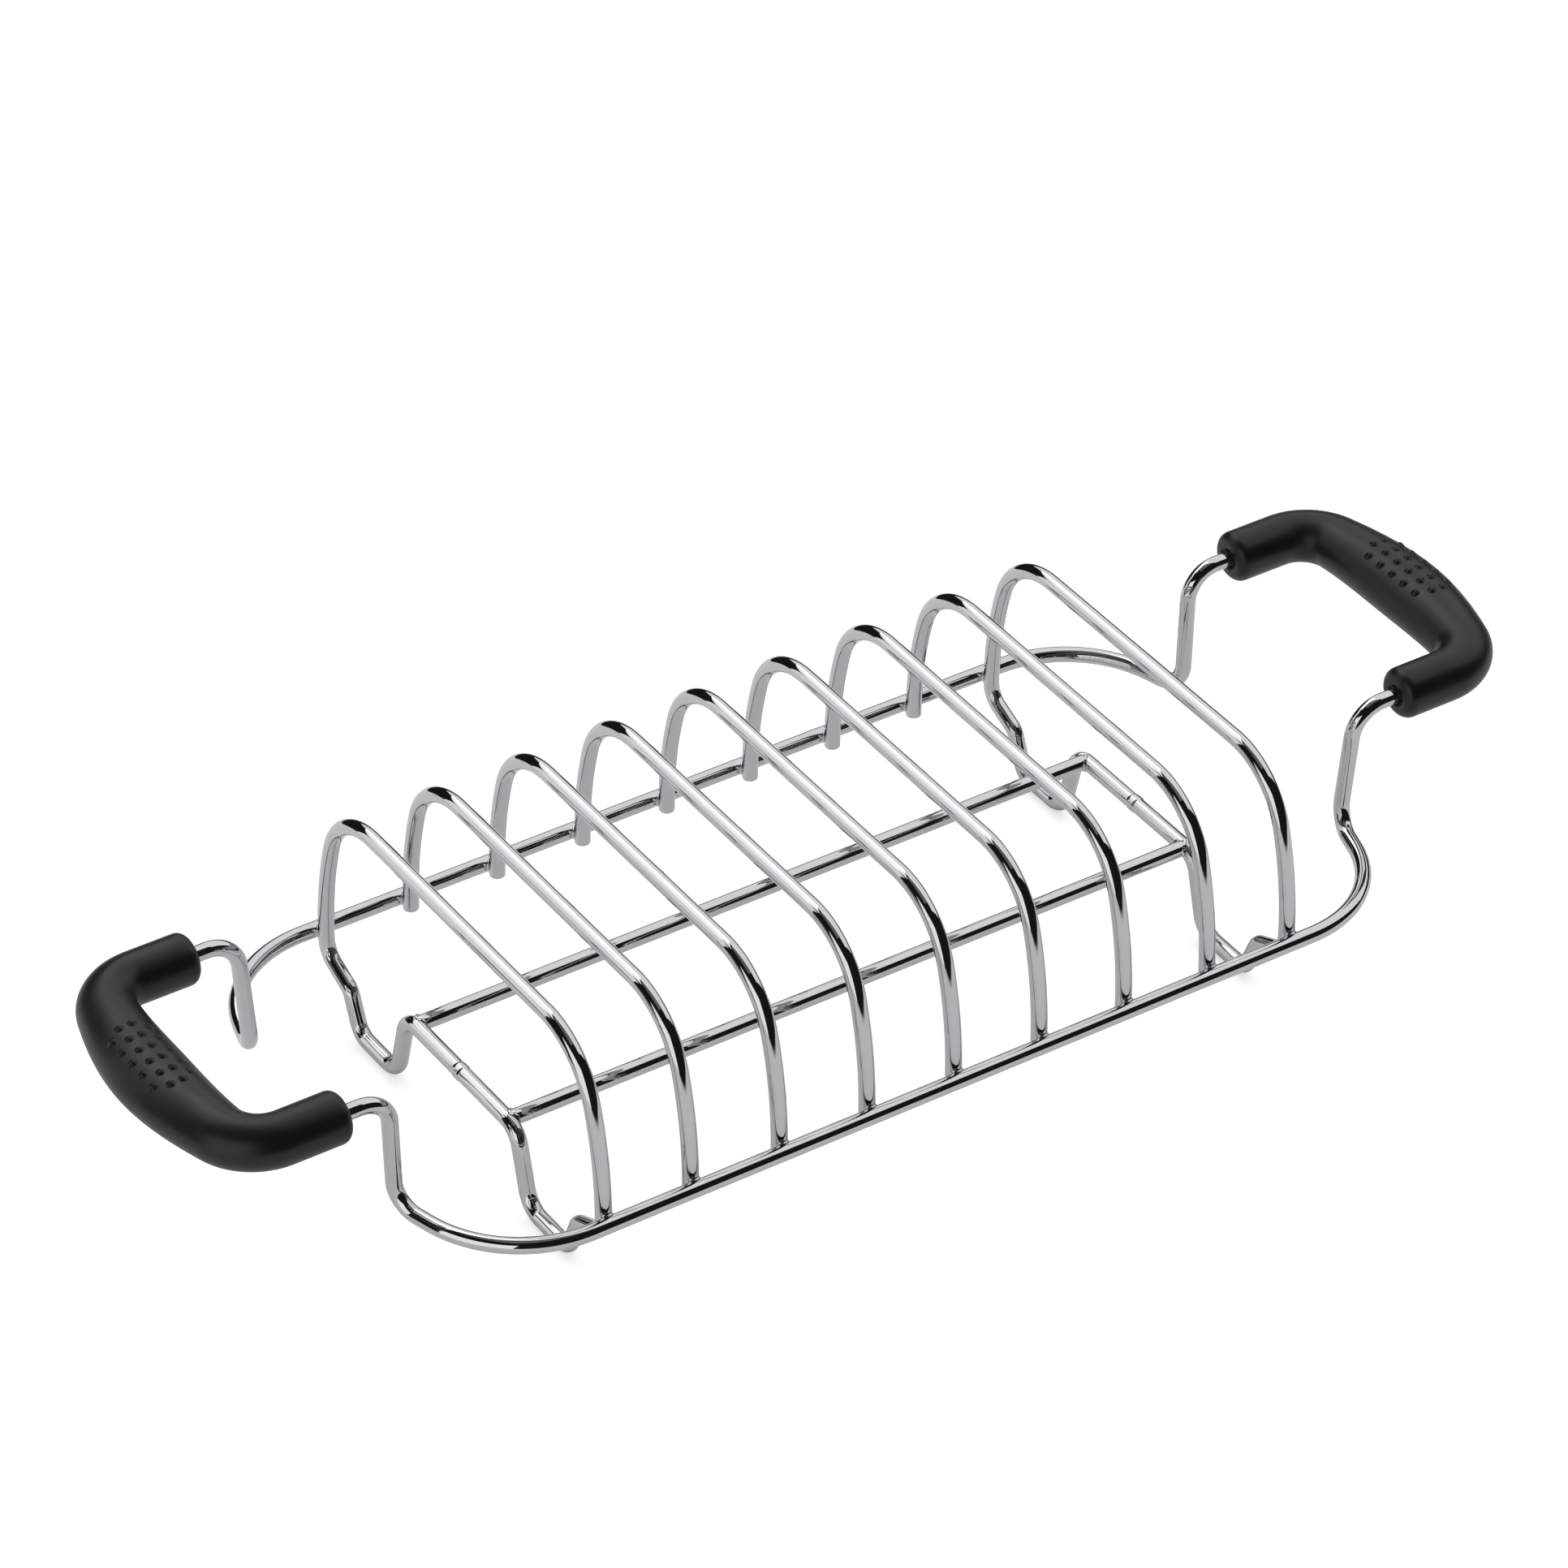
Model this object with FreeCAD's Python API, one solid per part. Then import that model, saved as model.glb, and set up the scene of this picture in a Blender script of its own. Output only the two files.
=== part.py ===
import FreeCAD, Part
import math
import os

os.makedirs("parts", exist_ok=True)

# A toast rack of chromed wire: a row of arched hoops on two side rails, with two rods between
# the closed end rings, which also bend down into four feet, and a moulded grip at each end.
# Millimetres. X runs from grip to grip, Y across the rack and Z up. The origin lies on the
# table, under the middle of the rack.

# Wire stock and how its joints are welded
wire_diameter = 4.2
weld_set_down = 0.7         # how far a hoop's leg and a rail sink into each other
butt_set_down = 0.3         # the same where a rod's end meets an end ring
wire_end_round = 0.6        # tumbled edge of a cut wire end

# Row of hoops
inner_bays = 6
inner_bay = 25.2            # centre to centre of neighbouring plain hoops
end_bay = 24.4              # centre to centre of an end ring and the first plain hoop

# Arch of a hoop, seen along X
hoop_rise = 45.3            # from the rails' centreline up to the top wire's
leg_radius = 105.0          # the long curve of a leg, upright where it meets its rail
shoulder_radius = 21.7      # the bend from a leg into the flat top
leg_below_rail = 2.0        # where a plain hoop's leg is cut off

# Lower half of an end ring, inwards from a leg: shoulder, knee, foot and crotch
shoulder_drop = 5.0         # corner under the rail
shoulder_run = 11.2         # from the leg in to the knee
knee_drop = 9.9
knee_run = 4.6              # from the knee in to the foot's outer corner
foot_drop = 21.0            # from the rails' centreline down to the foot wire's
foot_width = 17.8
crotch_run = 5.4            # from the foot's inner corner in to the cross bar
shoulder_bend = 6.4
knee_bend = 3.6
outer_foot_bend = 5.0
inner_foot_bend = 6.5
crotch_bend = 6.5

# Rods that the slices stand on
rod_inset = 3.9             # from a ring's crotch in to the rod

# Side rails, each one bent wire from grip to grip
rail_half_width = 68.0
rail_corner_overhang = 29.2  # from an end ring out to the rail's corner
rail_corner_radius = 31.8
riser_overhang = 38.9       # from an end ring out to the riser's foot
riser_foot_y = 33.9
riser_lean = 2.0            # how far the riser leans outwards over its height
riser_foot_bend = 7.0
riser_top_bend = 8.6
grip_rise = 34.7            # from the rails' centreline up to the grips'
tongue_y = 35.6             # the rail's end, which the grip is pushed on to
neck_length = 12.2          # bare wire between a riser and its grip

# Grips, C-shaped in plan
grip_end_radius = 6.7
grip_end_round = 2.7
grip_leg = 15.7             # straight length from the end face to the corner
grip_corner_radius = 12.5
grip_corner_turn = 77.9     # degrees, the rest of the quarter turn is the bowed middle
grip_middle_half_width = 9.7
grip_middle_half_height = 7.8
socket_clearance = 0.05     # radial, between a tongue and its socket
socket_depth = 16.0
tongue_end_gap = 0.5        # between a tongue's tip and its socket's floor
socket_mouth = 0.9          # countersink round the wire
corner_stations = 6
bow_stations = 6

# Raised dots on the middle of a grip, above and below, in straight rows across the rack
dot_pitch = 4.9
dot_row_gap = 3.4
dot_radius = 1.05
dot_rise = 0.7              # how far a dot stands out of the grip
dots_in_inner_row = 6       # in each of the two inner rows, which lie side by side
dots_in_outer_row = 5       # in the two outer rows, which are staggered

wire_radius = wire_diameter / 2
rail_z = foot_drop + wire_radius
leg_y = rail_half_width - (wire_diameter - weld_set_down)
ring_x = end_bay + inner_bays * inner_bay / 2
riser_foot_x = ring_x + riser_overhang
riser_top_x = riser_foot_x + riser_lean
grip_face_x = riser_top_x + neck_length
grip_z = rail_z + grip_rise


def unit(vector):
    return vector * (1 / vector.Length)


# Path of a bent wire: straight runs between the points, with a tangent arc at each inner one.
def bent_path(points, radii):
    edges = []
    reached = points[0]
    for before, corner, after, radius in zip(points, points[1:], points[2:], radii):
        back = unit(before - corner)
        ahead = unit(after - corner)
        half_angle = back.getAngle(ahead) / 2
        tangent = radius / math.tan(half_angle)
        to_centre = unit(back + ahead)
        arc_start = corner + back * tangent
        arc_middle = corner + to_centre * (radius / math.sin(half_angle) - radius)
        arc_end = corner + ahead * tangent
        if (arc_start - reached).Length > Part.Precision.confusion():
            edges.append(Part.makeLine(reached, arc_start))
        edges.append(Part.Arc(arc_start, arc_middle, arc_end).toShape())
        reached = arc_end
    edges.append(Part.makeLine(reached, points[-1]))
    return Part.Wire(edges)


# Round wire along a path.
def wire_along(path):
    first = path.OrderedEdges[0]
    start = first.valueAt(first.FirstParameter)
    profile = Part.Wire(Part.makeCircle(wire_radius, start, first.tangentAt(first.FirstParameter)))
    return path.makePipeShell([profile], True, False)


# Both flat ends of a cut wire, with their edges rounded.
def round_ends(solid):
    flat_faces = [face for face in solid.Faces if isinstance(face.Surface, Part.Plane)]
    edges = [edge for face in flat_faces for edge in face.Edges]
    return solid.makeFillet(wire_end_round, edges)


def mirrored(solid, normal):
    return solid.mirror(FreeCAD.Vector(), normal)


across = FreeCAD.Vector(0, 1, 0)
along = FreeCAD.Vector(1, 0, 0)


# A side rail: one wire from the tongue in one grip to the tongue in the other.
def side_rail():
    tip_x = grip_face_x + socket_depth - tongue_end_gap
    right_half = [
        FreeCAD.Vector(ring_x + rail_corner_overhang, -rail_half_width, rail_z),
        FreeCAD.Vector(riser_foot_x, -riser_foot_y, rail_z),
        FreeCAD.Vector(riser_top_x, -tongue_y, grip_z),
        FreeCAD.Vector(tip_x, -tongue_y, grip_z),
    ]
    left_half = [FreeCAD.Vector(-p.x, p.y, p.z) for p in reversed(right_half)]
    bends = [rail_corner_radius, riser_foot_bend, riser_top_bend]
    radii = list(reversed(bends)) + bends
    return round_ends(wire_along(bent_path(left_half + right_half, radii)))


# The upper arch from the middle of its top down to a level below the rail, for y >= 0.
# The leg's long curve is upright at the rail and runs straight into the shoulder's bend,
# which fixes how far it leans by then.
def arch_points(x):
    lean = math.asin((hoop_rise - shoulder_radius) / (leg_radius - shoulder_radius))
    leg_corner_z = leg_radius * math.tan(lean / 2)
    shoulder_y = leg_y - (hoop_rise - leg_corner_z) * math.tan(lean)
    return [
        FreeCAD.Vector(x, 0, rail_z + hoop_rise),
        FreeCAD.Vector(x, shoulder_y, rail_z + hoop_rise),
        FreeCAD.Vector(x, leg_y, rail_z + leg_corner_z),
    ]


# A plain hoop: a whole arch, with its legs cut off just under the rails.
def plain_hoop(x):
    top, shoulder, leg_corner = arch_points(x)
    leg_end = FreeCAD.Vector(x, leg_y, rail_z - leg_below_rail)
    right_side = [shoulder, leg_corner, leg_end]
    left_side = [FreeCAD.Vector(p.x, -p.y, p.z) for p in reversed(right_side)]
    radii = [leg_radius, shoulder_radius, shoulder_radius, leg_radius]
    return round_ends(wire_along(bent_path(left_side + right_side, radii)))


# An end ring: the same arch carried on below the rails, through two feet, to a cross bar at
# rail level. Its two halves meet in the middle of the top and at the bar's butt weld.
def end_ring(x):
    points = arch_points(x)
    y = leg_y
    points.append(FreeCAD.Vector(x, y, rail_z - shoulder_drop))
    y -= shoulder_run
    points.append(FreeCAD.Vector(x, y, rail_z - knee_drop))
    y -= knee_run
    points.append(FreeCAD.Vector(x, y, rail_z - foot_drop))
    y -= foot_width
    points.append(FreeCAD.Vector(x, y, rail_z - foot_drop))
    points.append(FreeCAD.Vector(x, y - crotch_run, rail_z))
    points.append(FreeCAD.Vector(x, 0, rail_z))
    radii = [shoulder_radius, leg_radius, shoulder_bend, knee_bend]
    radii += [outer_foot_bend, inner_foot_bend, crotch_bend]
    half = wire_along(bent_path(points, radii))
    return half.fuse(mirrored(half, across)).Solids[0]


# A rod between the inner sides of the two end rings, at rail level.
def centre_rod(side):
    rod_y = leg_y - shoulder_run - knee_run - foot_width - crotch_run - rod_inset
    half_length = ring_x - wire_radius + butt_set_down
    start = FreeCAD.Vector(-half_length, side * rod_y, rail_z)
    return Part.makeCylinder(wire_radius, 2 * half_length, start, along)


# Centreline of half a grip, from its corner to the middle: the corner's arc, then the bow's
# wide arc, which ends square to X where the grip crosses the rack's middle plane.
def grip_arcs():
    turn = math.radians(grip_corner_turn)
    corner_x = grip_face_x + grip_leg
    corner_y = tongue_y - grip_corner_radius

    def on_corner(angle):
        return FreeCAD.Vector(
            corner_x + grip_corner_radius * math.sin(angle),
            corner_y + grip_corner_radius * math.cos(angle),
            grip_z,
        )

    corner_end = on_corner(turn)
    bow_radius = corner_end.y / math.cos(turn)
    bow_x = corner_end.x - bow_radius * math.sin(turn)

    def on_bow(angle):
        return FreeCAD.Vector(
            bow_x + bow_radius * math.sin(angle), bow_radius * math.cos(angle), grip_z
        )

    quarter = math.pi / 2
    corner = Part.Arc(on_corner(0), on_corner(turn / 2), corner_end).toShape()
    bow = Part.Arc(corner_end, on_bow((turn + quarter) / 2), on_bow(quarter)).toShape()
    return corner, bow


# Half width and half height of the grip at a share of the way from the corner's start to the
# middle: smooth growth from the round end to the wide oval of the middle.
def grip_half_sizes(share):
    growth = share * share * (3 - 2 * share)
    half_width = grip_end_radius + (grip_middle_half_width - grip_end_radius) * growth
    half_height = grip_end_radius + (grip_middle_half_height - grip_end_radius) * growth
    return half_width, half_height


# Section of the grip across its centreline.
def grip_section(point, tangent, share):
    half_width, half_height = grip_half_sizes(share)
    sideways = tangent.cross(FreeCAD.Vector(0, 0, 1))
    matrix = FreeCAD.Matrix(
        sideways.x * half_width, 0, tangent.x, point.x,
        sideways.y * half_width, 0, tangent.y, point.y,
        0, half_height, 0, point.z,
        0, 0, 0, 1,
    )
    return Part.Wire(Part.makeCircle(1).transformGeometry(matrix))


# The dots of the right grip, as balls sunk into its top and underside. Each lies on the bow's
# oval section, whose size depends on how far along the bow the dot is from its middle.
def grip_dots(bow, curved_length):
    circle = bow.Curve
    middle_x = circle.Center.x + circle.Radius
    rows = [(-1.5, dots_in_outer_row), (-0.5, dots_in_inner_row)]
    rows += [(0.5, dots_in_inner_row), (1.5, dots_in_outer_row)]
    dots = []
    for row, count in rows:
        x = middle_x + row * dot_row_gap
        for index in range(count):
            y = (index - (count - 1) / 2) * dot_pitch
            sideways = math.hypot(x - circle.Center.x, y) - circle.Radius
            from_middle = circle.Radius * abs(math.atan2(y, x - circle.Center.x))
            half_width, half_height = grip_half_sizes(1 - from_middle / curved_length)
            level = half_height * math.sqrt(1 - (sideways / half_width) ** 2)
            for side in (-1, 1):
                z = grip_z + side * (level + dot_rise - dot_radius)
                dots.append(Part.makeSphere(dot_radius, FreeCAD.Vector(x, y, z)))
    return dots


# The right grip: two straight legs with blind sockets for the rails' tongues, and a lofted
# stretch round both corners that grows smoothly wider towards the dotted middle.
def grip():
    corner, bow = grip_arcs()
    curved_length = corner.Length + bow.Length
    sections = []
    travelled = 0
    for edge, stations in ((corner, corner_stations), (bow, bow_stations)):
        for step in range(stations):
            distance = edge.Length * step / stations
            parameter = edge.getParameterByLength(distance)
            share = (travelled + distance) / curved_length
            sections.append(grip_section(edge.valueAt(parameter), edge.tangentAt(parameter), share))
        travelled += edge.Length
    other_half = [mirrored(section, across) for section in reversed(sections)]
    middle = grip_section(bow.valueAt(bow.LastParameter), bow.tangentAt(bow.LastParameter), 1)
    body = Part.makeLoft(sections + [middle] + other_half, True)
    body = body.fuse(grip_dots(bow, curved_length))
    for side in (-1, 1):
        face_centre = FreeCAD.Vector(grip_face_x, side * tongue_y, grip_z)
        leg = Part.makeCylinder(grip_end_radius, grip_leg, face_centre, along)
        rim = [edge for edge in leg.Edges if edge.BoundBox.XMax < grip_face_x + grip_end_round]
        body = body.fuse(leg.makeFillet(grip_end_round, rim))
    for side in (-1, 1):
        face_centre = FreeCAD.Vector(grip_face_x, side * tongue_y, grip_z)
        bore_radius = wire_radius + socket_clearance
        bore = Part.makeCylinder(bore_radius, socket_depth, face_centre, along)
        mouth = Part.makeCone(bore_radius + socket_mouth, bore_radius, socket_mouth, face_centre, along)
        body = body.cut(bore).cut(mouth)
    return body.Solids[0]


front_rail = side_rail()
back_rail = mirrored(front_rail, across)
rails = Part.makeCompound([front_rail, back_rail])
right_ring = end_ring(ring_x)
left_ring = end_ring(-ring_x)
rings = Part.makeCompound([left_ring, right_ring])
right_grip = grip()

nodes = {
    "front_rail": front_rail,
    "back_rail": back_rail,
    "left_end_ring": left_ring.cut(rails),
    "right_end_ring": right_ring.cut(rails),
    "front_centre_rod": centre_rod(-1).cut(rings),
    "back_centre_rod": centre_rod(1).cut(rings),
    "left_grip": mirrored(right_grip, along),
    "right_grip": right_grip,
}
for number in range(inner_bays + 1):
    hoop_x = (number - inner_bays / 2) * inner_bay
    nodes["toast_hoop_" + str(number + 1)] = plain_hoop(hoop_x).cut(rails)

for name, shape in nodes.items():
    solids = shape.Solids
    if len(solids) != 1 or not solids[0].isValid():
        raise ValueError(name + " is not one valid solid")
    solids[0].exportStep("parts/" + name + ".step")
    print(name, round(solids[0].Volume, 1), "mm3", len(solids[0].Faces), "faces")
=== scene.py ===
import math

import bpy
import numpy as np
from mathutils import Matrix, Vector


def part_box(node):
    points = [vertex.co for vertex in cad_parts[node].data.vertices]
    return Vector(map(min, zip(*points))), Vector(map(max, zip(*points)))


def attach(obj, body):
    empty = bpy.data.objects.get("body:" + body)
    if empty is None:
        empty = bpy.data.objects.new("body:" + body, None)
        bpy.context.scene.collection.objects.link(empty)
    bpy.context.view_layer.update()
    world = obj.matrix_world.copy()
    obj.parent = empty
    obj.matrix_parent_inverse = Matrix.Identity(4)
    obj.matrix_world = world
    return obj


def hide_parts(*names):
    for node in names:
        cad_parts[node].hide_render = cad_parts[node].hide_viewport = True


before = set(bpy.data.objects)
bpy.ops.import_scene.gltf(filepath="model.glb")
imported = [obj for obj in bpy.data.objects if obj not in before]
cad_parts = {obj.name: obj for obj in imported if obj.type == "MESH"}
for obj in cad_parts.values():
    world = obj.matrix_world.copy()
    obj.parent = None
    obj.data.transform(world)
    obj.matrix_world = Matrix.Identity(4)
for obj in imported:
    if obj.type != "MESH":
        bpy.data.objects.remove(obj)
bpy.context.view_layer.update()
print("frame loaded:", len(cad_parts), "nodes")

mm = 0.001
upward = np.array([0.0, 0.0, 1.0])
lengthwise = np.array([1.0, 0.0, 0.0])
samePlace = 1e-7  # two places nearer than this count as one
sharpTurn = math.radians(35)  # an edge between faces that turn by more than this stays sharp


def corners(node):
    return np.array([list(corner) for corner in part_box(node)])


# places that every wire shares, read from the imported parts
rodBox = corners("back_centre_rod")
ringBox = corners("right_end_ring")
railBox = corners("back_rail")
gripBox = corners("right_grip")

wireRadius = (rodBox[1, 2] - rodBox[0, 2]) / 2
rodY = (rodBox[0, 1] + rodBox[1, 1]) / 2
railZ = (rodBox[0, 2] + rodBox[1, 2]) / 2
railY = railBox[1, 1] - wireRadius
ringX = (ringBox[0, 0] + ringBox[1, 0]) / 2
hoopTopZ = ringBox[1, 2] - wireRadius
footZ = ringBox[0, 2] + wireRadius
gripFaceX = gripBox[0, 0]
gripZ = (gripBox[0, 2] + gripBox[1, 2]) / 2


wireStock = {
    "around": 48,  # points round the wire
    "runStep": 3.0 * mm,  # longest step along a straight run
    "bendStep": math.radians(3.0),  # and round a bend
    "longBendStep": 1.6 * mm,  # longest step along a wide bend
    "fewestBendRows": 4,
    "weldReach": 2.2 * mm,  # rows lie closer together this far to each side of a butt weld
    "weldRows": 45,
    "endRound": 0.6 * mm,  # tumbled edge of a cut end
    "endRows": 6,
}


def unit(vectors):
    return vectors / np.linalg.norm(vectors, axis=-1, keepdims=True)


# A vector turned about an axis: v cos a + (axis x v) sin a + axis (axis . v)(1 - cos a),
# for a whole array of angles at once.
def turned(vector, axis, angles):
    cosine, sine = np.cos(angles)[:, None], np.sin(angles)[:, None]
    return (
        vector * cosine
        + np.cross(axis, vector) * sine
        + axis * np.dot(axis, vector) * (1 - cosine)
    )


# Centreline of a bent wire, as rows of place, heading and side. Straight runs lead from corner
# to corner, and at each corner an arc of radius R that turns by t starts R tan(t / 2) before
# it: place = start + R (sin a heading + (1 - cos a) inward). The side turns with the heading
# about the arc's axis, so the wire never twists. Rows come closer together near a butt weld.
def bentLine(points, radii, side, buttWelds=()):
    points = np.array(points, float)
    places, headings, sides = [], [], []
    reached = points[0]

    def addRun(start, end, side):
        length = np.linalg.norm(end - start)
        if length < samePlace:
            return
        heading = (end - start) / length
        along = np.linspace(0, length, max(2, math.ceil(length / wireStock["runStep"]) + 1))
        for weld in buttWelds:
            reach = (np.array(weld) - start) @ heading
            aside = np.linalg.norm(start + heading * reach - weld)
            if 0 <= reach <= length and aside < wireRadius:
                span = wireStock["weldReach"]
                close = np.linspace(reach - span, reach + span, wireStock["weldRows"])
                along = np.unique(np.concatenate([along, close[(close > 0) & (close < length)]]))
        places.append(start + along[:, None] * heading)
        headings.append(np.repeat(heading[None], len(along), 0))
        sides.append(np.repeat(side[None], len(along), 0))

    for before, corner, after, radius in zip(points, points[1:], points[2:], radii):
        heading, nextHeading = unit(corner - before), unit(after - corner)
        turn = math.acos(np.clip(heading @ nextHeading, -1, 1))
        axis = unit(np.cross(heading, nextHeading))
        start = corner - heading * radius * math.tan(turn / 2)
        inward = np.cross(axis, heading)
        addRun(reached, start, side)
        step = min(wireStock["bendStep"], wireStock["longBendStep"] / radius)
        rowCount = max(wireStock["fewestBendRows"], math.ceil(turn / step) + 1)
        angles = np.linspace(0, turn, rowCount)
        sine, cosine = np.sin(angles)[:, None], np.cos(angles)[:, None]
        places.append(start + radius * (sine * heading + (1 - cosine) * inward))
        headings.append(cosine * heading + sine * inward)
        sides.append(turned(side, axis, angles))
        side = sides[-1][-1]
        reached = places[-1][-1]
    addRun(reached, points[-1], side)
    places, headings, sides = (np.concatenate(rows) for rows in (places, headings, sides))
    fresh = np.ones(len(places), bool)
    fresh[1:] = np.linalg.norm(np.diff(places, axis=0), axis=1) > samePlace
    return places[fresh], headings[fresh], sides[fresh]


# Rows of points round a line: line(s) + width(s) cos v side(s) + height(s) sin v across(s),
# where across is heading x side.
def rowsAround(places, headings, sides, widths, heights, around):
    v = np.linspace(0, 2 * math.pi, around, endpoint=False)
    across = np.cross(headings, sides)
    return (
        places[:, None]
        + (widths[:, None] * np.cos(v))[..., None] * sides[:, None]
        + (heights[:, None] * np.sin(v))[..., None] * across[:, None]
    )


# Points and faces of a grid of rows. The rows close round the section. Along the line they
# either close on themselves or end in a pole at each end.
def gridSurface(rows, poles=None):
    rowCount, around = rows.shape[:2]
    points = rows.reshape(-1, 3)
    spans = rowCount if poles is None else rowCount - 1
    row, column = np.meshgrid(np.arange(spans), np.arange(around), indexing="ij")
    thisRow, nextRow = row * around, ((row + 1) % rowCount) * around
    nextColumn = (column + 1) % around
    quads = [thisRow + column, thisRow + nextColumn, nextRow + nextColumn, nextRow + column]
    faces = np.stack(quads, -1).reshape(-1, 4).tolist()
    if poles is not None:
        firstRow = np.arange(around)
        following = (firstRow + 1) % around
        lastRow = (rowCount - 1) * around
        startPole = np.full(around, len(points))
        startFan = [startPole, following, firstRow]
        endFan = [startPole + 1, lastRow + firstRow, lastRow + following]
        faces += np.stack(startFan, -1).tolist() + np.stack(endFan, -1).tolist()
        points = np.vstack([points, poles])
    return points, faces


# One mesh from several closed surfaces.
def makePiece(name, surfaces):
    points = np.vstack([surface[0] for surface in surfaces])
    starts = np.cumsum([0] + [len(surface[0]) for surface in surfaces])
    faces = [
        [start + corner for corner in face]
        for (_, surfaceFaces), start in zip(surfaces, starts)
        for face in surfaceFaces
    ]
    mesh = bpy.data.meshes.new(name)
    mesh.from_pydata(points.tolist(), [], faces)
    mesh.validate()
    mesh.shade_smooth()
    mesh.set_sharp_from_angle(angle=sharpTurn)
    piece = bpy.data.objects.new(name, mesh)
    bpy.context.scene.collection.objects.link(piece)
    return piece


# A cut wire with tumbled ends. Over the last bit e of its length the radius falls as
# r - e (1 - sin a) while the place moves e (1 - cos a) in from the tip, for a from 0 to 90
# degrees, and a pole closes the flat that is left.
def cutWire(line):
    places, headings, sides = line
    edge, count, last = wireStock["endRound"], wireStock["endRows"], len(places) - 1
    a = np.linspace(0, math.pi / 2, count)
    inset, endRadii = edge * (1 - np.cos(a)), wireRadius - edge * (1 - np.sin(a))
    row = np.concatenate([np.zeros(count, int), np.arange(1, last), np.full(count, last)])
    moved = np.concatenate([inset, np.zeros(last - 1), -inset[::-1]])[:, None] * headings[row]
    radii = np.concatenate([endRadii, np.full(last - 1, wireRadius), endRadii[::-1]])
    around = wireStock["around"]
    rows = rowsAround(places[row] + moved, headings[row], sides[row], radii, radii, around)
    return gridSurface(rows, [places[0], places[-1]])


archShape = {
    "legSetDown": 0.7 * mm,  # how far a leg and a rail sink into each other
    "legRadius": 105.0 * mm,
    "shoulderRadius": 21.7 * mm,
    "legBelowRail": 2.0 * mm,
}
legY = railY - (2 * wireRadius - archShape["legSetDown"])


# Corners of one side of an arch, from the middle of its top to the leg. The leg's wide curve
# is upright at the rail, and leans by asin((rise - s) / (l - s)) where it meets the shoulder,
# for shoulder radius s and leg radius l.
def archPoints(x, side):
    rise = hoopTopZ - railZ
    legRadius, shoulderRadius = archShape["legRadius"], archShape["shoulderRadius"]
    lean = math.asin((rise - shoulderRadius) / (legRadius - shoulderRadius))
    legCornerZ = legRadius * math.tan(lean / 2)
    shoulderY = legY - (rise - legCornerZ) * math.tan(lean)
    return [(x, side * shoulderY, hoopTopZ), (x, side * legY, railZ + legCornerZ)]


def hoopLine(x):
    shoulder, leg = archPoints(x, 1)
    otherShoulder, otherLeg = archPoints(x, -1)
    endZ = railZ - archShape["legBelowRail"]
    points = [(x, -legY, endZ), otherLeg, otherShoulder, shoulder, leg, (x, legY, endZ)]
    bends = [archShape["legRadius"], archShape["shoulderRadius"]]
    return bentLine(points, bends + bends[::-1], lengthwise)


# Lower half of an end ring, inwards from a leg: shoulder, knee, foot, crotch and cross bar
footShape = {
    "shoulderDrop": 5.0 * mm,
    "shoulderRun": 11.2 * mm,
    "kneeDrop": 9.9 * mm,
    "kneeRun": 4.6 * mm,
    "footWidth": 17.8 * mm,
    "crotchRun": 5.4 * mm,
    "shoulderBend": 6.4 * mm,
    "kneeBend": 3.6 * mm,
    "outerFootBend": 5.0 * mm,
    "innerFootBend": 6.5 * mm,
    "crotchBend": 6.5 * mm,
    "flashRise": 0.17 * mm,  # butt weld in the middle of the cross bar
    "flashHalfWidth": 1.25 * mm,
    "flashSteepness": 6,
}


def ringLine(x):
    kneeY = legY - footShape["shoulderRun"]
    footY = kneeY - footShape["kneeRun"]
    innerY = footY - footShape["footWidth"]
    lower = [
        (x, legY, railZ - footShape["shoulderDrop"]),
        (x, kneeY, railZ - footShape["kneeDrop"]),
        (x, footY, footZ),
        (x, innerY, footZ),
        (x, innerY - footShape["crotchRun"], railZ),
    ]
    half = archPoints(x, 1) + lower
    otherHalf = [(px, -py, pz) for px, py, pz in reversed(half)]
    bends = [archShape["shoulderRadius"], archShape["legRadius"]]
    lowerBends = ("shoulderBend", "kneeBend", "outerFootBend", "innerFootBend", "crotchBend")
    bends += [footShape[key] for key in lowerBends]
    top, buttWeld = (x, 0, hoopTopZ), (x, 0, railZ)
    return bentLine([top] + half + otherHalf + [top], bends + bends[::-1], lengthwise, [buttWeld])


# A closed ring of wire. Its radius swells at the butt weld by rise exp(-(|y| / w)^n), a low
# sleeve of upset metal with a step at each side.
def ringSurface(x):
    places, headings, sides = (rows[:-1] for rows in ringLine(x))
    onBar = np.abs(places[:, 2] - railZ) < wireRadius / 2
    share = np.abs(places[:, 1]) / footShape["flashHalfWidth"]
    swell = footShape["flashRise"] * np.exp(-(share ** footShape["flashSteepness"]))
    radii = wireRadius + np.where(onBar, swell, 0)
    return gridSurface(rowsAround(places, headings, sides, radii, radii, wireStock["around"]))


railShape = {
    "cornerOverhang": 29.2 * mm,  # from an end ring out to the rail's corner
    "cornerRadius": 31.8 * mm,
    "riserFootY": 33.9 * mm,
    "riserLean": 2.0 * mm,
    "riserFootBend": 7.0 * mm,
    "riserTopBend": 8.6 * mm,
    "neckLength": 12.2 * mm,  # bare wire between a riser and its grip
    "tongueY": 35.6 * mm,
    "tongueLength": 15.5 * mm,  # inside the grip
    "rodSink": 1.6 * mm,  # how far a rod's end runs into a ring's wire
}


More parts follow.
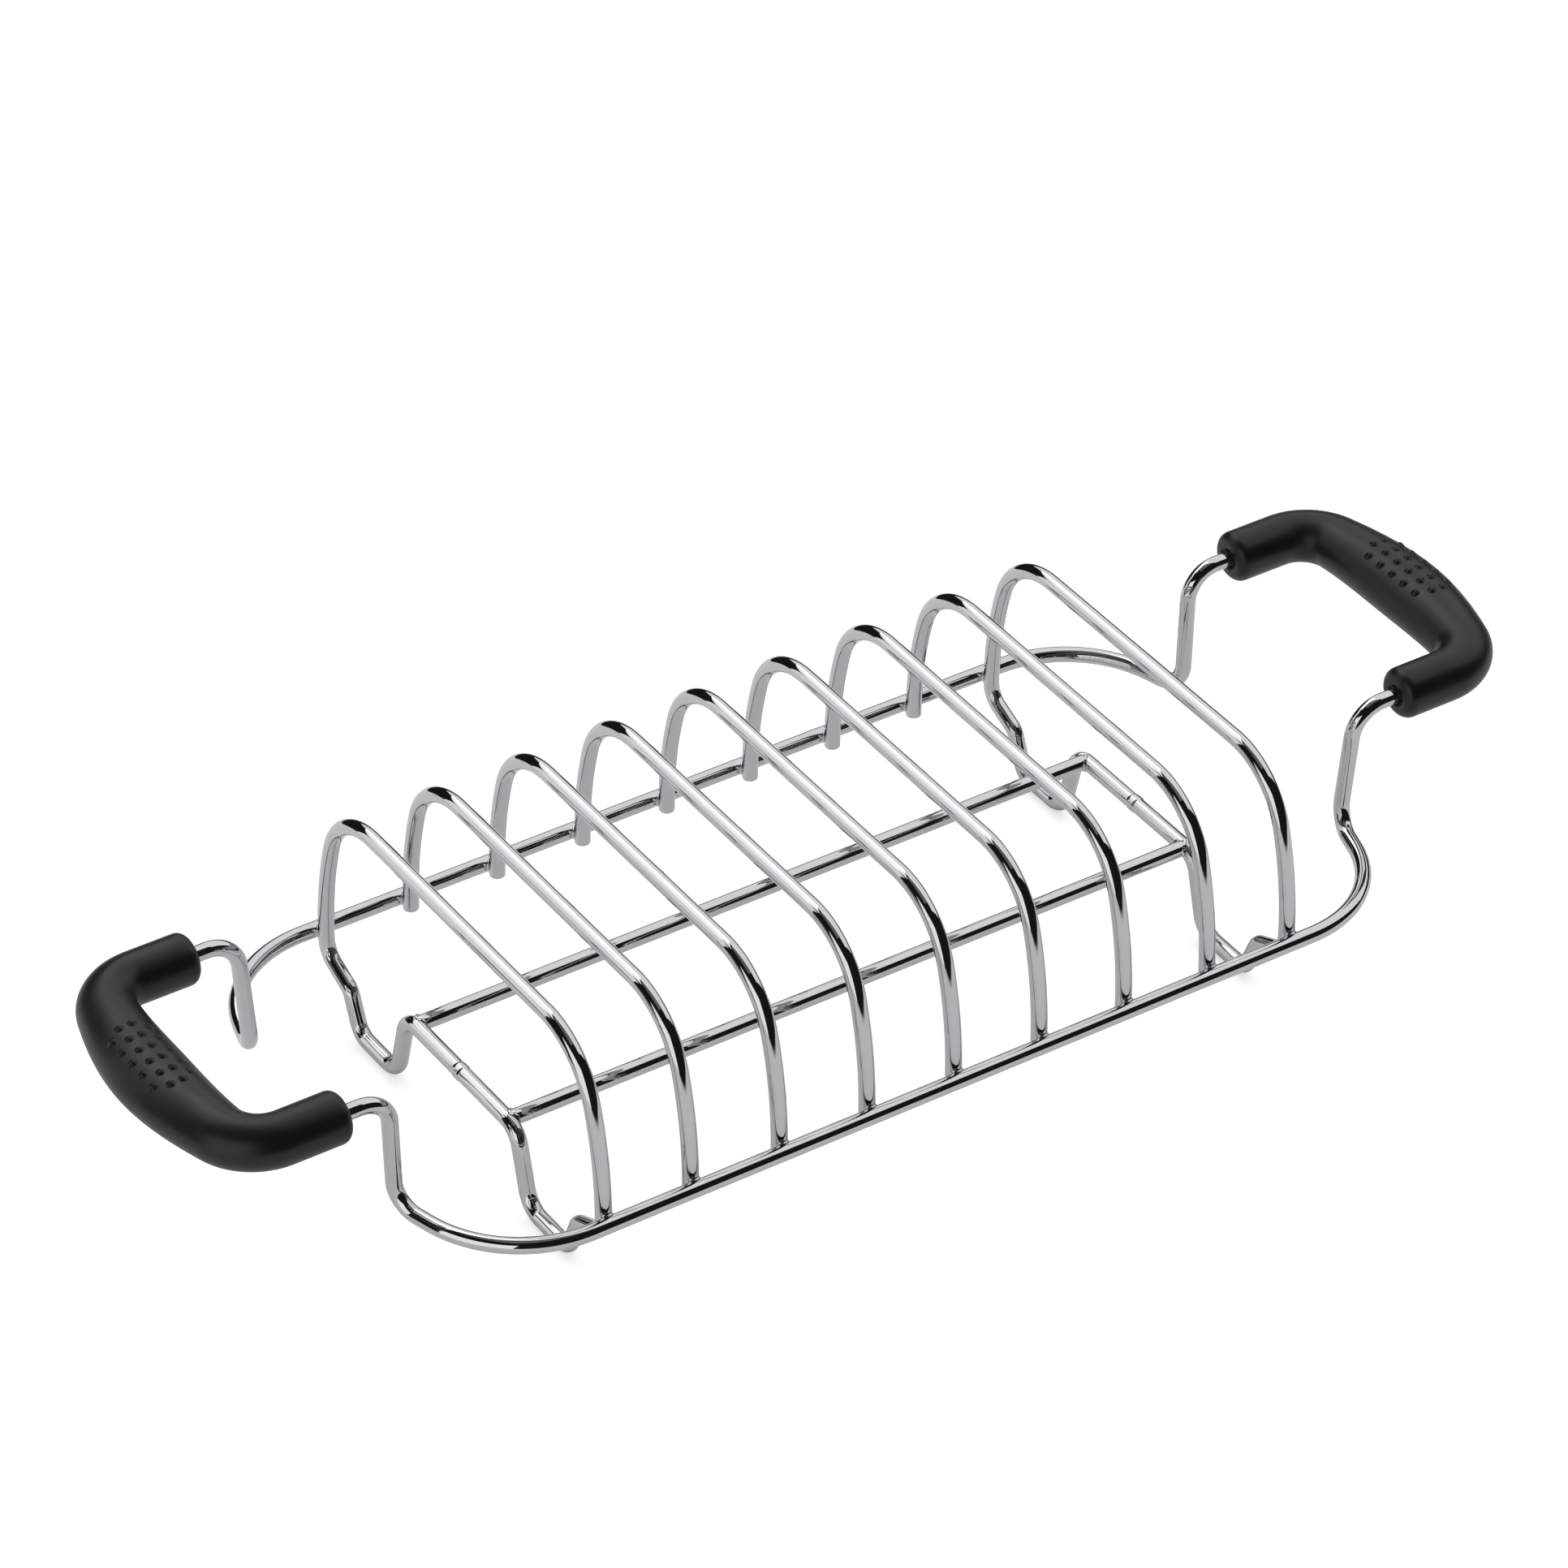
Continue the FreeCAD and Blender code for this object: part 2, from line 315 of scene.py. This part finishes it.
def railLine(side):
    y = side * railShape["tongueY"]
    riserTopX = gripFaceX - railShape["neckLength"]
    half = [
        (ringX + railShape["cornerOverhang"], side * railY, railZ),
        (riserTopX - railShape["riserLean"], side * railShape["riserFootY"], railZ),
        (riserTopX, y, gripZ),
        (gripFaceX + railShape["tongueLength"], y, gripZ),
    ]
    otherHalf = [(-px, py, pz) for px, py, pz in reversed(half)]
    bends = [railShape[key] for key in ("cornerRadius", "riserFootBend", "riserTopBend")]
    return bentLine(otherHalf + half, bends[::-1] + bends, upward)


def rodLine(side):
    reach = ringX - wireRadius + railShape["rodSink"]
    y = side * rodY
    return bentLine([(-reach, y, railZ), (reach, y, railZ)], [], upward)


weldShape = {
    "legFillet": 0.42 * mm,  # radius of the metal squeezed into the crease
    "depth": 0.3 * mm,  # how far the weld's hidden side lies inside the wires
    "around": 72,
    "section": 8,
    "trialAngles": 4001,  # angles tried in the search for the crease's ends
    "rodBead": 0.42 * mm,
    "rodBeadAround": 10,
    "rodBeadEase": 0.02,  # rounds off the kink that the bead's path has above and below
}


# Nearest place on a ring's leg to a place (y, z) beside it, and the distance to it, less than
# zero on the inner side: straight down to the shoulder's bend, and round that bend's arc below.
def footOnLeg(y, z, bend):
    if bend is None:
        return np.full_like(y, legY), z, y - legY
    run, drop = footShape["shoulderRun"], footShape["kneeDrop"] - footShape["shoulderDrop"]
    bendTop = railZ - footShape["shoulderDrop"] + bend * math.tan(math.atan2(run, drop) / 2)
    fromY, fromZ = y - (legY - bend), z - bendTop
    distance = np.hypot(fromY, fromZ)
    below = fromZ < 0
    nearY = np.where(below, legY - bend + fromY * bend / distance, legY)
    nearZ = np.where(below, bendTop + fromZ * bend / distance, z)
    return nearY, nearZ, np.where(below, distance - bend, y - legY)


# Fillet where a leg crosses the inner side of a rail. A ball of radius f rolls in the crease,
# so its centre keeps r + f from both wires: y = rail y - (r + f) cos p, z = rail z + (r + f)
# sin p, and x lies sqrt((r + f)^2 - q^2) to either side, with q the distance to the leg's
# line. The fillet is the ball's arc between the two places that it touches.
def legWeld(x, side, bend=None):
    fillet, reach = weldShape["legFillet"], wireRadius + weldShape["legFillet"]
    trial = np.linspace(-math.pi / 2, math.pi / 2, weldShape["trialAngles"])
    gap = footOnLeg(railY - reach * np.cos(trial), railZ + reach * np.sin(trial), bend)[2]
    inside = trial[gap < reach]
    middle, swing = (inside[0] + inside[-1]) / 2, (inside[-1] - inside[0]) / 2
    t = np.linspace(0, 2 * math.pi, weldShape["around"], endpoint=False)
    p = middle + swing * np.sin(t)
    y, z = railY - reach * np.cos(p), railZ + reach * np.sin(p)
    nearY, nearZ, q = footOnLeg(y, z, bend)
    away = np.sign(np.cos(t)) * np.sqrt(np.clip(reach**2 - q**2, 0, None))
    centres = np.stack([x + away, y, z], -1)
    onRail = np.stack([x + away, np.full_like(y, railY), np.full_like(z, railZ)], -1)
    onLeg = np.stack([np.full_like(y, x), nearY, nearZ], -1)
    toRail, toLeg = unit(onRail - centres), unit(onLeg - centres)
    share = np.linspace(0, 1, weldShape["section"])[None, :, None]
    arc = unit(toRail[:, None] * (1 - share) + toLeg[:, None] * share)
    section = [fillet * arc, (fillet + weldShape["depth"]) * arc[:, ::-1]]
    rows = centres[:, None] + np.concatenate(section, 1)
    rows[..., 1] *= side
    if side > 0:
        rows = rows[:, ::-1]
    return gridSurface(rows)


# Bead round a rod's end. It follows the crease of two round wires at right angles:
# (x, y, z) = (ring x - r |cos a|, rod y + r cos a, rail z + r sin a), as a thin round section.
def rodWeld(end, side):
    a = np.linspace(0, 2 * math.pi, weldShape["around"], endpoint=False)
    offset = np.sqrt(np.cos(a) ** 2 + weldShape["rodBeadEase"])
    places = np.stack([
        end * (ringX - wireRadius * offset),
        side * rodY + wireRadius * np.cos(a),
        railZ + wireRadius * np.sin(a),
    ], -1)
    headings = unit(np.roll(places, -1, 0) - np.roll(places, 1, 0))
    outward = unit(places - [end * ringX, side * rodY, railZ])
    sides = unit(outward - headings * np.sum(outward * headings, 1, keepdims=True))
    radii = np.full(len(a), weldShape["rodBead"])
    return gridSurface(rowsAround(places, headings, sides, radii, radii, weldShape["rodBeadAround"]))


gripShape = {
    "endRadius": 6.7 * mm,
    "endRound": 2.7 * mm,
    "leg": 15.7 * mm,
    "cornerRadius": 12.5 * mm,
    "cornerTurn": math.radians(77.9),
    "middleHalfWidth": 9.7 * mm,
    "middleHalfHeight": 7.8 * mm,
    "boreRadius": 2.15 * mm,
    "boreTipRadius": 2.107 * mm,
    "boreDepth": 16.0 * mm,
    "mouth": 0.9 * mm,  # countersink round the wire
    "around": 96,
    "boreRows": 8,
    "rimRows": 10,
    "legRows": 6,
    "cornerRows": 36,
    "bowRows": 60,
    "dotPitch": 4.9 * mm,
    "dotRowGap": 3.4 * mm,
    "dotsInRow": {-1.5: 5, -0.5: 6, 0.5: 6, 1.5: 5},  # by the row's place, in row gaps
    "dotRadius": 1.35 * mm,  # of the dot's soft foot
    "dotRise": 0.7 * mm,
    "dotFootSink": 0.175 * mm,  # how far a dot's foot is drawn into the skin
    "dotRings": 8,
    "dotAround": 24,
}


# The right grip's curves: the centre of its corner's arc, then the wide bow's centre and radius,
# and the length from the corner's start to the middle of the bow. The two arcs meet after a turn
# of t, so the bow's radius is (corner y + R cos t) / cos t.
def gripCurves():
    turn, cornerRadius = gripShape["cornerTurn"], gripShape["cornerRadius"]
    cornerX = gripFaceX + gripShape["leg"]
    cornerY = railShape["tongueY"] - cornerRadius
    bowRadius = (cornerY + cornerRadius * math.cos(turn)) / math.cos(turn)
    bowX = cornerX + (cornerRadius - bowRadius) * math.sin(turn)
    halfLength = cornerRadius * turn + bowRadius * (math.pi / 2 - turn)
    return cornerX, cornerY, bowX, bowRadius, halfLength


# Centreline of the right grip from one corner round to the other, by heading angle a: place =
# centre + R (sin a, cos a) on the two corners and, with the bow's own centre and radius,
# between them. The third result is the share of the way from the nearer end to the middle.
def gripLine():
    turn, cornerRadius = gripShape["cornerTurn"], gripShape["cornerRadius"]
    cornerX, cornerY, bowX, bowRadius, halfLength = gripCurves()
    corner = np.linspace(0, turn, gripShape["cornerRows"], endpoint=False)
    bow = np.linspace(turn, math.pi - turn, gripShape["bowRows"])
    angles = np.concatenate([corner, bow, math.pi - corner[::-1]])
    onBow = (angles >= turn) & (angles <= math.pi - turn)
    radii = np.where(onBow, bowRadius, cornerRadius)
    x = np.where(onBow, bowX, cornerX) + radii * np.sin(angles)
    y = np.where(onBow, 0, np.where(angles < turn, cornerY, -cornerY)) + radii * np.cos(angles)
    places = np.stack([x, y, np.full_like(angles, gripZ)], -1)
    headings = np.stack([np.cos(angles), -np.sin(angles), np.zeros_like(angles)], -1)
    folded = np.minimum(angles, math.pi - angles)
    alongBow = cornerRadius * turn + bowRadius * (folded - turn)
    reached = np.where(onBow, alongBow, cornerRadius * folded)
    return places, headings, reached / halfLength


# Half width and half height of the grip's oval at the share s of the way from an end to the
# middle. They grow smoothly from the round end, 3 s^2 - 2 s^3 of the way.
def gripHalfSizes(share):
    growth = share**2 * (3 - 2 * share)
    end = gripShape["endRadius"]
    halfWidth = end + (gripShape["middleHalfWidth"] - end) * growth
    halfHeight = end + (gripShape["middleHalfHeight"] - end) * growth
    return halfWidth, halfHeight


# The grip's skin as one grid: up the socket, over its mouth and the end face, round the rim at
# depth e (1 - cos a) and radius r - e (1 - sin a), then along the leg, the corner and the bow,
# and the same way back into the other socket. end is 1 for the right grip and -1 for the left
# one, which is its mirror image.
def gripSkin(end):
    places, headings, share = gripLine()
    widths, heights = gripHalfSizes(share)
    radius, rim, bore = gripShape["endRadius"], gripShape["endRound"], gripShape["boreRadius"]
    a = np.linspace(0, math.pi / 2, gripShape["rimRows"])
    boreDepths = np.linspace(gripShape["boreDepth"], gripShape["mouth"], gripShape["boreRows"])
    legDepths = np.linspace(rim, gripShape["leg"], gripShape["legRows"])[1:-1]
    profile = np.concatenate([
        [[gripShape["boreDepth"], gripShape["boreTipRadius"]]],
        np.stack([boreDepths, np.full_like(boreDepths, bore)], -1),
        [[0, bore + gripShape["mouth"]]],
        np.stack([rim * (1 - np.cos(a)), radius - rim * (1 - np.sin(a))], -1),
        np.stack([legDepths, np.full_like(legDepths, radius)], -1),
    ])
    depth, profileRadius = profile[:, 0], profile[:, 1]
    leg = [gripFaceX, railShape["tongueY"], gripZ] + depth[:, None] * lengthwise
    otherLeg = (leg * [1, -1, 1])[::-1]
    out = np.repeat(lengthwise[None], len(depth), 0)
    places = np.vstack([leg, places, otherLeg])
    headings = np.vstack([out, headings, -out])
    widths = np.concatenate([profileRadius, widths, profileRadius[::-1]])
    heights = np.concatenate([profileRadius, heights, profileRadius[::-1]])
    sides = np.cross(upward, headings)
    rows = rowsAround(places, headings, sides, widths, heights, gripShape["around"])
    poles = np.array([places[0], places[-1]])
    if end < 0:
        rows, poles = rows[::-1] * [-1, 1, 1], poles[::-1] * [-1, 1, 1]
    return gridSurface(rows, poles)


# Height of the bow's skin above its centreline at (x, y): b sqrt(1 - (o / a)^2), where o is the
# way out from the centreline, and a and b are the half sizes there.
def skinLevel(x, y, bowX, bowRadius, halfLength):
    outwards = np.hypot(x - bowX, y) - bowRadius
    fromMiddle = bowRadius * np.abs(np.arctan2(y, x - bowX))
    halfWidth, halfHeight = gripHalfSizes(1 - fromMiddle / halfLength)
    return halfHeight * np.sqrt(1 - (outwards / halfWidth) ** 2)


# Dots in straight rows above and below. Each is a soft bell, h (1 - s^2)^2 high at the share s
# of its radius, on the skin's own slope, with its foot drawn a little way in and closed there.
def gripDots(end):
    _, _, bowX, bowRadius, halfLength = gripCurves()
    skin = (bowX, bowRadius, halfLength)
    rise = gripShape["dotRise"]
    s = np.linspace(0, 1, gripShape["dotRings"] + 1)[1:, None]
    bell = rise * (1 - s**2) ** 2
    bell[-1] = -gripShape["dotFootSink"]
    radii = gripShape["dotRadius"] * s
    v = np.linspace(0, 2 * math.pi, gripShape["dotAround"], endpoint=False)
    surfaces = []
    for row, count in gripShape["dotsInRow"].items():
        x = bowX + bowRadius + row * gripShape["dotRowGap"]
        for y in (np.arange(count) - (count - 1) / 2) * gripShape["dotPitch"]:
            level = skinLevel(x, y, *skin)
            for face in (-1, 1):
                dotX, dotY = x + radii * np.cos(v), y + radii * np.sin(v) * face * end
                dotZ = gripZ + face * (skinLevel(dotX, dotY, *skin) + bell)
                rings = np.stack([dotX, dotY, dotZ], -1)[::-1]
                poles = np.array([[x, y, gripZ + face * (level + up)] for up in (-rise, rise)])
                surfaces.append(gridSurface(rings * [end, 1, 1], poles * [end, 1, 1]))
    return surfaces


def register(piece, slotName, *nodes):
    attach(piece, "root")
    if nodes:
        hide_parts(*nodes)
    return piece


wirePieces, gripPieces = [], []
hoopNodes = sorted(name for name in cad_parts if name.startswith("toast_hoop_"))
hoopPlaces = {name: corners(name)[:, 0].mean() for name in hoopNodes}
for number, name in enumerate(hoopNodes, 1):
    piece = makePiece("toastHoop" + str(number), [cutWire(hoopLine(hoopPlaces[name]))])
    wirePieces.append(register(piece, "chromed_wire", name))
for end, word in ((-1, "left"), (1, "right")):
    piece = makePiece(word + "EndRing", [ringSurface(end * ringX)])
    wirePieces.append(register(piece, "chromed_wire", word + "_end_ring"))
    piece = makePiece(word + "Grip", [gripSkin(end)] + gripDots(end))
    gripPieces.append(register(piece, "black_grip_plastic", word + "_grip"))
for side, word in ((-1, "front"), (1, "back")):
    piece = makePiece(word + "Rail", [cutWire(railLine(side))])
    wirePieces.append(register(piece, "chromed_wire", word + "_rail"))
    piece = makePiece(word + "CentreRod", [cutWire(rodLine(side))])
    wirePieces.append(register(piece, "chromed_wire", word + "_centre_rod"))
    welds = [legWeld(x, side) for x in hoopPlaces.values()]
    welds += [legWeld(end * ringX, side, footShape["shoulderBend"]) for end in (-1, 1)]
    wirePieces.append(register(makePiece(word + "RailWelds", welds), "chromed_wire"))
    beads = [rodWeld(end, side) for end in (-1, 1)]
    wirePieces.append(register(makePiece(word + "RodWelds", beads), "chromed_wire"))
print("pieces made:", len(wirePieces), "of wire and", len(gripPieces), "grips")


# Linear colour of a hex sRGB one: c / 12.92 in the darks, else ((c + 0.055) / 1.055)^2.4.
def linear(hexColour):
    channels = [int(hexColour[i : i + 2], 16) / 255 for i in (1, 3, 5)]
    return [c / 12.92 if c <= 0.04045 else ((c + 0.055) / 1.055) ** 2.4 for c in channels] + [1.0]


# Adds a node with its settings, input values and links from other nodes' outputs.
def addNode(tree, kind, settings=None, values=None, links=None):
    node = tree.nodes.new(kind)
    for key, value in (settings or {}).items():
        setattr(node, key, value)
    for key, value in (values or {}).items():
        node.inputs[key].default_value = value
    for key, (source, output) in (links or {}).items():
        tree.links.new(source.outputs[output], node.inputs[key])
    return node


def newMaterial(name):
    material = bpy.data.materials.new(name)
    material.use_nodes = True
    material.node_tree.nodes.clear()
    return material, material.node_tree


white = (1, 1, 1, 1)

chromeLook = {
    "colour": "#c9cbcc",
    "polish": {"Scale": 1 / (9 * mm), "Detail": 3.0},  # slow change of polish, about 9 mm across
    "roughness": {"From Min": 0.3, "From Max": 0.7, "To Min": 0.03, "To Max": 0.06},
    "wave": {"Scale": 1 / (2.5 * mm), "Detail": 1.0},  # faint waviness under the plating
    "waveBump": {"Strength": 0.25, "Distance": 0.004 * mm},
}


# Bright chrome plate on drawn mild steel: a hard mirror, slightly cool, with a faint waviness
# from the drawing die that lets long reflections waver.
def chromePlate():
    look = chromeLook
    material, tree = newMaterial("brightChromePlateOnDrawnSteel")
    where = {"Vector": (addNode(tree, "ShaderNodeTexCoord"), "Object")}
    polish = addNode(tree, "ShaderNodeTexNoise", values=look["polish"], links=where)
    source = {"Value": (polish, "Fac")}
    roughness = addNode(tree, "ShaderNodeMapRange", values=look["roughness"], links=source)
    wave = addNode(tree, "ShaderNodeTexNoise", values=look["wave"], links=where)
    height = {"Height": (wave, "Fac")}
    bump = addNode(tree, "ShaderNodeBump", values=look["waveBump"], links=height)
    metal = {"Base Color": linear(look["colour"]), "Metallic": 1.0}
    finish = {"Roughness": (roughness, "Result"), "Normal": (bump, "Normal")}
    shader = addNode(tree, "ShaderNodeBsdfPrincipled", values=metal, links=finish)
    addNode(tree, "ShaderNodeOutputMaterial", links={"Surface": (shader, "BSDF")})
    return material


gripLook = {
    "colour": "#0b0b0c",
    "rubbedColour": "#111112",
    "ior": 1.44,
    "cloud": {"Scale": 1 / (14 * mm), "Detail": 4.0},  # rubbed and fresh places, 14 mm across
    "roughness": {"From Min": 0.3, "From Max": 0.7, "To Min": 0.34, "To Max": 0.43},
    "grain": {"Scale": 1 / (0.35 * mm), "Detail": 2.0},  # spark-eroded mould grain
    "grainBump": {"Strength": 0.35, "Distance": 0.012 * mm},
}


# Black moulded plastic with a fine spark-eroded grain: satin, so lamps spread into soft pools.
def mouldedPlastic():
    look = gripLook
    material, tree = newMaterial("blackMouldedPlasticSatin")
    where = {"Vector": (addNode(tree, "ShaderNodeTexCoord"), "Object")}
    cloud = addNode(tree, "ShaderNodeTexNoise", values=look["cloud"], links=where)
    shades = {6: linear(look["colour"]), 7: linear(look["rubbedColour"])}  # the colour sockets
    share = {0: (cloud, "Fac")}
    colour = addNode(tree, "ShaderNodeMix", {"data_type": "RGBA"}, shades, share)
    source = {"Value": (cloud, "Fac")}
    roughness = addNode(tree, "ShaderNodeMapRange", values=look["roughness"], links=source)
    grain = addNode(tree, "ShaderNodeTexNoise", values=look["grain"], links=where)
    height = {"Height": (grain, "Fac")}
    bump = addNode(tree, "ShaderNodeBump", values=look["grainBump"], links=height)
    finish = {
        "Base Color": (colour, 2),
        "Roughness": (roughness, "Result"),
        "Normal": (bump, "Normal"),
    }
    shader = addNode(tree, "ShaderNodeBsdfPrincipled", values={"IOR": look["ior"]}, links=finish)
    addNode(tree, "ShaderNodeOutputMaterial", links={"Surface": (shader, "BSDF")})
    return material


chrome, plastic = chromePlate(), mouldedPlastic()
for pieces, material in ((wirePieces, chrome), (gripPieces, plastic)):
    for piece in pieces:
        piece.data.materials.clear()
        piece.data.materials.append(material)
for name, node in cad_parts.items():  # hidden behind the new pieces, with the same finish
    node.data.materials.clear()
    node.data.materials.append(plastic if name.endswith("_grip") else chrome)
print("materials given")


studio = {
    "floorHalf": 3.0,
    "floorColour": "#dadada",
    "floorSeen": 0.5,  # lifts the paper to white for the camera alone
    "tableHalf": (0.44, 0.42),  # what the chrome mirrors is a table with the dark room round it
    "tableFront": -0.30,
    "tableFade": 0.04,
    "worldLight": 0.55,
    "worldMirrored": 0.012,  # dark room round the lamps
}


# Pale paper. A mirrored ray meets it on the table alone: past each edge of the table the paper
# fades out over the width of the fade.
def makeFloor():
    half = studio["floorHalf"]
    mesh = bpy.data.meshes.new("floor")
    edge = [(-half, -half, 0), (half, -half, 0), (half, half, 0), (-half, half, 0)]
    mesh.from_pydata(edge, [], [(0, 1, 2, 3)])
    floor = bpy.data.objects.new("floor", mesh)
    bpy.context.scene.collection.objects.link(floor)
    material, tree = newMaterial("palePaperFloor")
    rays = addNode(tree, "ShaderNodeLightPath")
    tint = {"Color": linear(studio["floorColour"])}
    paper = addNode(tree, "ShaderNodeBsdfDiffuse", values=tint)
    product, largest = {"operation": "MULTIPLY"}, {"operation": "MAXIMUM"}
    toCamera = {0: (rays, "Is Camera Ray")}
    seen = addNode(tree, "ShaderNodeMath", product, {1: studio["floorSeen"]}, toCamera)
    glow = addNode(
        tree, "ShaderNodeEmission", values={"Color": white}, links={"Strength": (seen, 0)}
    )
    lit = addNode(tree, "ShaderNodeAddShader", links={0: (paper, 0), 1: (glow, 0)})
    beyond = addNode(tree, "ShaderNodeBsdfTransparent", values={"Color": white})
    where = {0: (addNode(tree, "ShaderNodeTexCoord"), "Object")}
    unsigned = addNode(tree, "ShaderNodeVectorMath", {"operation": "ABSOLUTE"}, links=where)
    signedParts = addNode(tree, "ShaderNodeSeparateXYZ", links=where)
    unsignedParts = addNode(tree, "ShaderNodeSeparateXYZ", links={0: (unsigned, 0)})
    fade, front = studio["tableFade"], studio["tableFront"]
    halfX, halfY = studio["tableHalf"]
    edges = (
        (unsignedParts, "X", halfX, halfX + fade),
        (signedParts, "Y", halfY, halfY + fade),
        (signedParts, "Y", front + fade, front - fade),
    )
    offSides, offBack, offFront = (
        addNode(
            tree,
            "ShaderNodeMapRange",
            values={"From Min": start, "From Max": end},
            links={"Value": (parts, axis)},
        )
        for parts, axis, start, end in edges
    )
    ends = {0: (offBack, 0), 1: (offFront, 0)}
    offEnds = addNode(tree, "ShaderNodeMath", largest, links=ends)
    allEdges = {0: (offEnds, 0), 1: (offSides, 0)}
    off = addNode(tree, "ShaderNodeMath", largest, links=allEdges)
    mirroredAndOff = {0: (off, 0), 1: (rays, "Is Glossy Ray")}
    faded = addNode(tree, "ShaderNodeMath", product, links=mirroredAndOff)
    shaders = {0: (faded, 0), 1: (lit, 0), 2: (beyond, 0)}
    floorShader = addNode(tree, "ShaderNodeMixShader", links=shaders)
    addNode(tree, "ShaderNodeOutputMaterial", links={"Surface": (floorShader, 0)})
    mesh.materials.append(material)


# White to the camera, soft light to the floor and grips, and nearly dark to a mirrored ray, so
# that the chrome shows the lamps.
def makeWorld():
    world = bpy.data.worlds.new("studio")
    bpy.context.scene.world = world
    world.use_nodes = True
    tree = world.node_tree
    tree.nodes.clear()
    rays = addNode(tree, "ShaderNodeLightPath")
    levels = {"To Min": studio["worldLight"], "To Max": studio["worldMirrored"]}
    isMirrored = {"Value": (rays, "Is Glossy Ray")}
    mirrored = addNode(tree, "ShaderNodeMapRange", values=levels, links=isMirrored)
    either = {0: (mirrored, 0), 1: (rays, "Is Camera Ray")}
    strength = addNode(tree, "ShaderNodeMath", {"operation": "MAXIMUM"}, links=either)
    power = {"Strength": (strength, 0)}
    back = addNode(tree, "ShaderNodeBackground", values={"Color": white}, links=power)
    addNode(tree, "ShaderNodeOutputWorld", links={"Surface": (back, 0)})


# Softboxes round the table: direction and angular size in degrees, azimuth from the front
# towards the right, and how bright each looks.
lamps = {
    "rightWindow": {"azimuth": 120, "elevation": 48, "distance": 1.6, "size": (84, 64), "glow": 1.03},
    "backSoftbox": {"azimuth": 192, "elevation": 52, "distance": 1.8, "size": (42, 32), "glow": 1.38},
    "backStrip": {"azimuth": 228, "elevation": 14, "distance": 1.8, "size": (20, 62), "glow": 1.0},
    "leftSoftbox": {"azimuth": 294, "elevation": 10, "distance": 1.4, "size": (52, 56), "glow": 1.2},
    "ceiling": {"azimuth": 0, "elevation": 88, "distance": 1.9, "size": (36, 36), "glow": 0.15},
}


# Unit vector towards an azimuth and an elevation in degrees.
def direction(azimuth, elevation):
    azimuth, elevation = math.radians(azimuth), math.radians(elevation)
    level = math.cos(elevation)
    return np.array([math.sin(azimuth) * level, -math.cos(azimuth) * level, math.sin(elevation)])


# Matrix of something that stands at a location, looks at an aim and is rolled about that line.
def aimed(location, aim, roll=0.0):
    back = unit(location - aim)
    right = unit(np.cross(upward, back))
    up = np.cross(back, right)
    cosine, sine = math.cos(roll), math.sin(roll)
    right, up = right * cosine + up * sine, up * cosine - right * sine
    matrix = Matrix(np.column_stack([right, up, back]).tolist()).to_4x4()
    matrix.translation = location.tolist()
    return matrix


# A lamp's side is 2 distance tan(angle / 2), and its power pi glow times its area.
def makeLamps():
    for name, lamp in lamps.items():
        distance = lamp["distance"]
        across, upright = (math.radians(angle) for angle in lamp["size"])
        data = bpy.data.lights.new(name, "AREA")
        data.shape = "RECTANGLE"
        data.size = 2 * distance * math.tan(across / 2)
        data.size_y = 2 * distance * math.tan(upright / 2)
        data.energy = lamp["glow"] * math.pi * data.size * data.size_y
        light = bpy.data.objects.new(name, data)
        light.visible_camera = False
        location = direction(lamp["azimuth"], lamp["elevation"]) * distance
        light.matrix_world = aimed(location, np.zeros(3))
        bpy.context.scene.collection.objects.link(light)


cameraSetup = {
    "azimuth": -33.502,
    "elevation": 36.616,
    "roll": 0.397,
    "distance": 1.8597,
    "target": (0.01843, 0.03851, 0.0381),
    "lens": 169.94,
    "sensor": 36,
}


def makeCamera():
    target = np.array(cameraSetup["target"])
    back = direction(cameraSetup["azimuth"], cameraSetup["elevation"])
    location = target + back * cameraSetup["distance"]
    data = bpy.data.cameras.new("camera")
    data.sensor_width = cameraSetup["sensor"]
    data.lens = cameraSetup["lens"]
    camera = bpy.data.objects.new("camera", data)
    camera.matrix_world = aimed(location, target, math.radians(cameraSetup["roll"]))
    bpy.context.scene.collection.objects.link(camera)
    bpy.context.scene.camera = camera


makeFloor()
makeWorld()
makeLamps()
makeCamera()
bpy.context.scene.view_settings.view_transform = "Standard"
print("studio set up")
